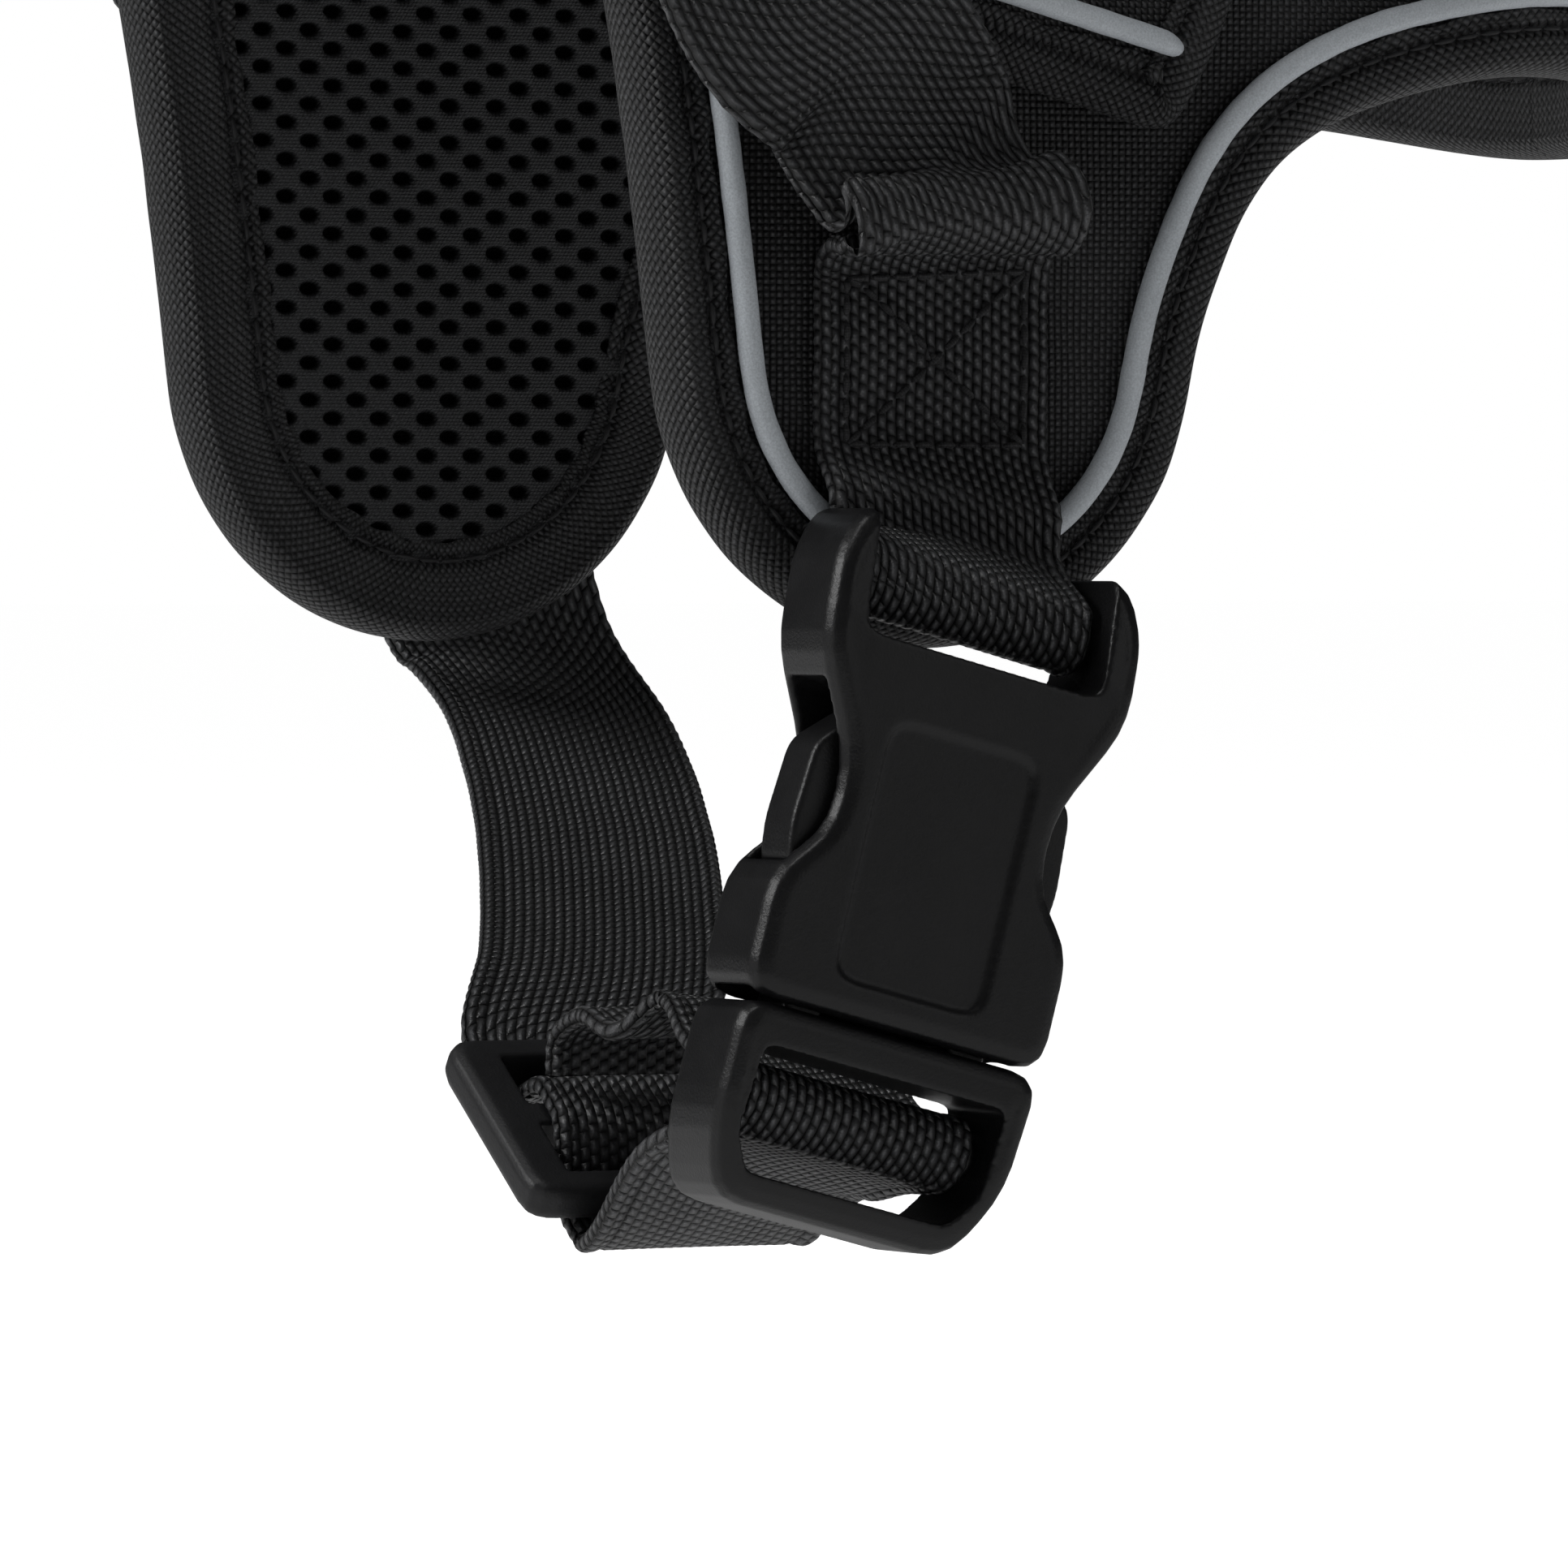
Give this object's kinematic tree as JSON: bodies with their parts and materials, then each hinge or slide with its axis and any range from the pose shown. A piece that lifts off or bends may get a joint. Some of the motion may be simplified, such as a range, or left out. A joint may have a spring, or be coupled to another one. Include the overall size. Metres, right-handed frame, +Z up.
{
  "type": "safety harness vest",
  "caption": "Padded vest-shaped animal safety harness with bound and piped edges, webbing straps, side-release buckle, slider and D-ring.",
  "frame": {"origin": "inner face of the back pad, midway between the flanks, where the vest lies on the animal's back", "axes": "+X towards the head, +Y to the animal's side without the buckle's female half, +Z up"},
  "size_m": [0.1696, 0.1455, 0.2376],
  "materials": {
    "oxford": "matte woven polyester",
    "air_mesh": "matte knitted mesh",
    "foam": "soft",
    "binding": "matte woven tape",
    "reflective": "fine glass bead",
    "webbing": "woven nylon",
    "acetal": "fine spark texture",
    "steel": "satin"
  },
  "bodies": {
    "vest": {"back_lining": "air_mesh", "near_lobe_lining": "air_mesh", "far_lobe_lining": "air_mesh", "breast_lining": "air_mesh", "back_foam": "foam", "near_lobe_foam": "foam", "far_lobe_foam": "foam", "breast_foam": "foam", "saddle_pad": "foam", "back_cover": "oxford", "near_lobe_cover": "oxford", "far_lobe_cover": "oxford", "breast_cover": "oxford", "saddle_cover": "oxford", "near_edge_binding": "binding", "far_edge_binding": "binding", "near_neck_binding": "binding", "far_neck_binding": "binding", "near_saddle_binding": "binding", "far_saddle_binding": "binding", "near_edge_piping": "reflective", "far_edge_piping": "reflective", "near_saddle_piping": "reflective", "far_saddle_piping": "reflective", "near_strap": "webbing", "far_strap": "webbing", "girth_strap": "webbing", "handle": "webbing", "d_ring_tab": "webbing", "female_buckle": "acetal"},
    "male": {"male_buckle": "acetal"},
    "rear_arm": {"rear_release_arm": "acetal"},
    "front_arm": {"front_release_arm": "acetal"},
    "slider": {"tri_glide_slider": "acetal"},
    "ring": {"d_ring": "steel"}
  },
  "joints": [
    {"name": "buckle_release", "type": "slide", "parent": "vest", "child": "male", "axis": [-0.2588, 0, -0.9659], "range_m": [0, 0.034], "deforming": ["girth_strap"]},
    {"name": "rear_arm_press", "type": "hinge", "parent": "male", "child": "rear_arm", "pos_m": [-0.02095, -0.071, -0.17452], "axis": [0, 1, 0], "range_deg": [0, 7], "stiffness_Nm_per_rad": 0.05},
    {"name": "front_arm_press", "type": "hinge", "parent": "male", "child": "front_arm", "pos_m": [-0.00356, -0.071, -0.17918], "axis": [0, 1, 0], "range_deg": [-7, 0], "stiffness_Nm_per_rad": 0.05},
    {"name": "slider_adjust", "type": "slide", "parent": "male", "child": "slider", "axis": [0, 0.8192, 0.5736], "range_m": [0, 0.02]},
    {"name": "d_ring_swing", "type": "hinge", "parent": "vest", "child": "ring", "pos_m": [-0.0538, 0, 0.0116], "axis": [0, 1, 0], "range_deg": [0, 200]}
  ],
  "couplings": [
    {"joint": "front_arm_press", "follows": "rear_arm_press", "ratio": -1}
  ]
}
